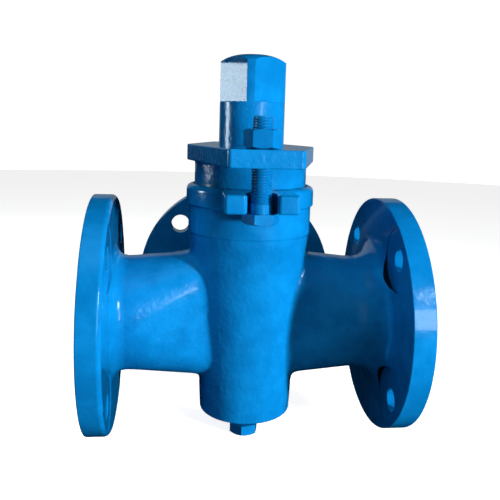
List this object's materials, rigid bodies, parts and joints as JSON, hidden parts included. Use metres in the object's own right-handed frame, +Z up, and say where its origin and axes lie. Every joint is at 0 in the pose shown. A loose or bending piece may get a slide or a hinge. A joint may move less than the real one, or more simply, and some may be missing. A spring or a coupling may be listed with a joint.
{
  "type": "three-way plug valve",
  "caption": "Flanged three-way taper plug valve with a packed gland, square stem head and a jack screw under the body; the plug turns to join its ports.",
  "frame": {"origin": "centre of the left port's raised face, on the common axis of the ports", "axes": "+X along the run towards the right port, +Y towards the branch port, +Z up along the stem"},
  "size_m": [0.26, 0.2275, 0.321],
  "materials": {
    "blue_casting": "glossy enamel over a sand casting",
    "blue_machined": "glossy enamel over machined steel",
    "blue_fastener": "glossy enamel over hexagon fasteners",
    "bare_steel": "turned",
    "graphite": "pressed graphite",
    "copper": "soft copper sealing ring"
  },
  "bodies": {
    "body": {"body": "blue_casting", "packing_washer": "bare_steel", "packing_ring_1": "graphite", "packing_ring_2": "graphite", "packing_ring_3": "graphite", "packing_ring_4": "graphite", "gland_bolt_front": "blue_fastener", "gland_bolt_back": "blue_fastener", "jack_seal_washer": "copper", "jack_lock_nut": "blue_fastener"},
    "thrust_pad": {"thrust_pad": "bare_steel"},
    "plug": {"plug": "blue_machined"},
    "jack_screw": {"jack_screw": "blue_fastener"},
    "gland": {"gland": "blue_casting"},
    "gland_nut_front": {"gland_nut_front": "blue_fastener"},
    "gland_nut_back": {"gland_nut_back": "blue_fastener"}
  },
  "joints": [
    {"name": "jack_lift", "type": "slide", "parent": "body", "child": "thrust_pad", "axis": [0, 0, 1], "range_m": [0, 0.003]},
    {"name": "jack_turn", "type": "hinge", "parent": "thrust_pad", "child": "jack_screw", "pos_m": [0.13, 0, -0.0835], "axis": [0, 0, 1], "range_deg": [0, 541]},
    {"name": "plug_turn", "type": "hinge", "parent": "thrust_pad", "child": "plug", "pos_m": [0.13, 0, 0], "axis": [0, 0, 1], "continuous": true},
    {"name": "gland_slide", "type": "slide", "parent": "body", "child": "gland", "axis": [0, 0, 1], "range_m": [-0.008, 0.006], "deforming": ["packing_ring_1", "packing_ring_2", "packing_ring_3", "packing_ring_4"]},
    {"name": "nut_front_turn", "type": "hinge", "parent": "gland", "child": "gland_nut_front", "pos_m": [0.13, -0.07, 0.1405], "axis": [0, 0, 1], "range_deg": [-1441, 1081]},
    {"name": "nut_back_turn", "type": "hinge", "parent": "gland", "child": "gland_nut_back", "pos_m": [0.13, 0.07, 0.1405], "axis": [0, 0, 1], "range_deg": [-1441, 1081]}
  ],
  "couplings": [
    {"joint": "jack_turn", "follows": "jack_lift", "rad_per_m": 3141.6},
    {"joint": "nut_front_turn", "follows": "gland_slide", "rad_per_m": 3141.6},
    {"joint": "nut_back_turn", "follows": "gland_slide", "rad_per_m": 3141.6}
  ]
}
